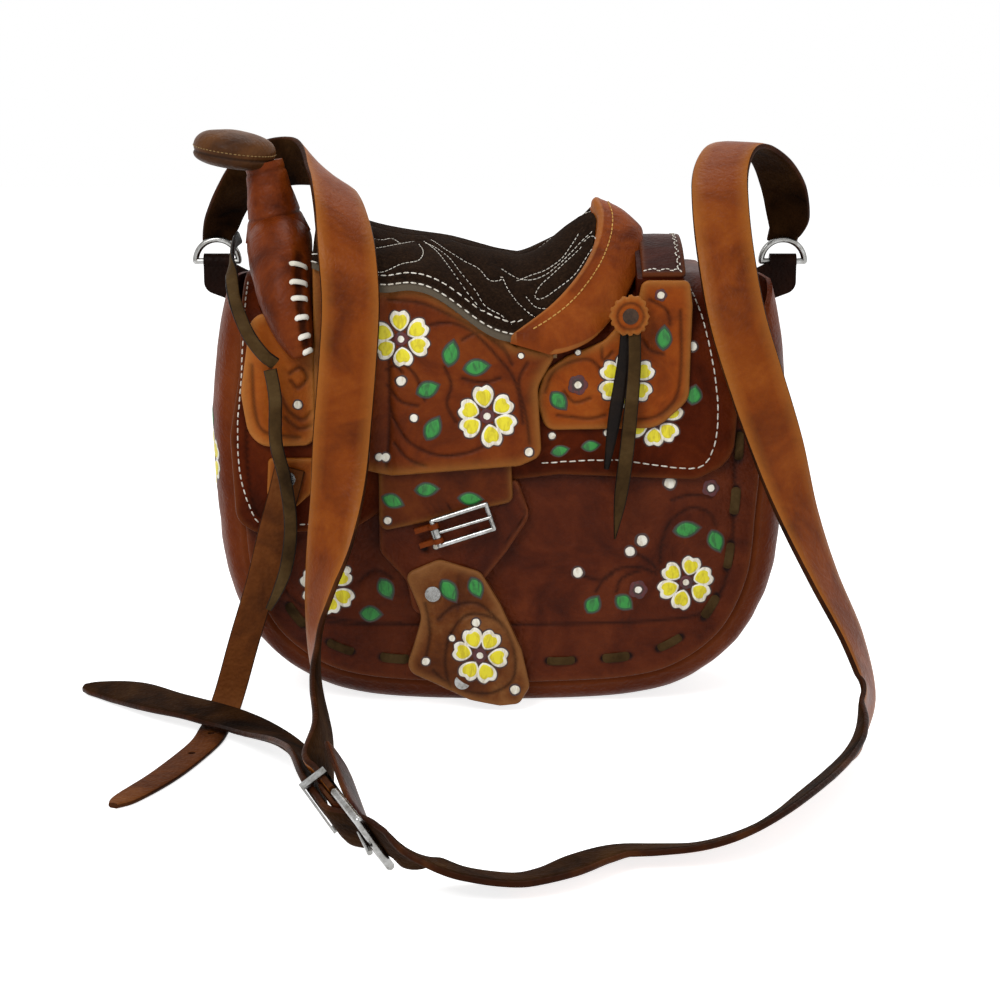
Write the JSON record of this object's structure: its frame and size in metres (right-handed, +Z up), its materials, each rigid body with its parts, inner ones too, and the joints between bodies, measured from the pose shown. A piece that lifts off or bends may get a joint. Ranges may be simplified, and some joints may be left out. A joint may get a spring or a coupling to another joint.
{
  "type": "saddle handbag",
  "caption": "Tooled leather handbag whose hinged flap is a small western saddle with horn, seat, cantle, fender and stirrup, with a shoulder strap.",
  "frame": {"origin": "on the resting surface, under the middle of the pouch's flat base", "axes": "+Z up, +X to the right as seen from the front, the front panel faces -Y"},
  "size_m": [0.3695, 0.3461, 0.268],
  "materials": {
    "tan_leather": "waxed, creased caramel tan",
    "brown_leather": "dyed and tooled brown",
    "mahogany_leather": "pebbled reddish mahogany with an antique dye",
    "dark_leather": "very dark brown, satin",
    "suede": "napped dark brown suede with off-white stitching",
    "olive_lace": "rough flesh side, dark olive brown",
    "ivory_lace": "smooth ivory",
    "tree_wood": "raw softwood, hidden",
    "chrome": "worn nickel plate"
  },
  "bodies": {
    "root": {"gusset": "tan_leather", "front_panel": "mahogany_leather", "back_panel": "brown_leather", "front_lacing": "olive_lace", "back_lacing": "olive_lace", "inner_pocket": "dark_leather", "ring_tab_left": "brown_leather", "ring_tab_right": "brown_leather", "tab_rivets": "chrome"},
    "flap": {"skirt": "dark_leather", "saddle_tree": "tree_wood", "seat_pad": "suede", "seat_jockey": "brown_leather", "front_jockey": "tan_leather", "rear_jockey": "brown_leather", "cantle_core": "tree_wood", "cantle_band": "tan_leather", "rear_plate": "dark_leather", "fork_core": "tree_wood", "fork_cover": "mahogany_leather", "fork_lacing": "ivory_lace", "horn_post": "chrome", "horn_neck_cover": "mahogany_leather", "horn_cap": "mahogany_leather", "front_thong_loop": "olive_lace", "billet_tab": "tan_leather", "billet_rivet": "chrome", "billet_strap": "brown_leather", "rosette": "dark_leather"},
    "fender": {"fender_upper": "brown_leather", "fender_lower": "mahogany_leather", "fender_buckle": "chrome", "buckle_loop": "brown_leather"},
    "fender_tongue": {"fender_buckle_tongue": "chrome"},
    "stirrup": {"stirrup_front": "mahogany_leather", "stirrup_back": "dark_leather", "stirrup_rivets": "chrome"},
    "rear_thongs": {"rear_thongs": "olive_lace", "rosette_rivet": "chrome"},
    "front_thong": {"front_thong": "olive_lace"},
    "strap": {"d_ring_left": "chrome", "d_ring_right": "chrome", "strap_short": "tan_leather", "strap_long": "tan_leather", "strap_chape": "brown_leather", "strap_buckle": "chrome", "strap_buckle_tongue": "chrome", "strap_keeper": "chrome"}
  },
  "joints": [
    {"name": "flap_open", "type": "hinge", "parent": "root", "child": "flap", "pos_m": [0, 0.046, 0.2], "axis": [-1, 0, 0], "range_deg": [0, 100]},
    {"name": "strap_swing", "type": "hinge", "parent": "flap", "child": "strap", "pos_m": [0, 0.046, 0.2], "axis": [-1, 0, 0], "range_deg": [0, 50]},
    {"name": "fender_swing", "type": "hinge", "parent": "flap", "child": "fender", "pos_m": [0, -0.0494, 0.112], "axis": [-1, 0, 0], "range_deg": [0, 55]},
    {"name": "fender_tongue_lift", "type": "hinge", "parent": "fender", "child": "fender_tongue", "pos_m": [-0.02936, -0.053, 0.08598], "axis": [0.309, 0, -0.9511], "range_deg": [0, 100]},
    {"name": "stirrup_turn", "type": "hinge", "parent": "fender", "child": "stirrup", "pos_m": [-0.031, -0.0469, 0.057], "axis": [0, 1, 0], "range_deg": [-12, 12]},
    {"name": "rear_thong_swing", "type": "hinge", "parent": "flap", "child": "rear_thongs", "pos_m": [0.0585, -0.054, 0.1865], "axis": [0, 1, 0], "range_deg": [-12, 15]},
    {"name": "front_thong_swing", "type": "hinge", "parent": "flap", "child": "front_thong", "pos_m": [-0.102, -0.0606, 0.163], "axis": [0, 1, 0], "range_deg": [-6, 10]}
  ]
}
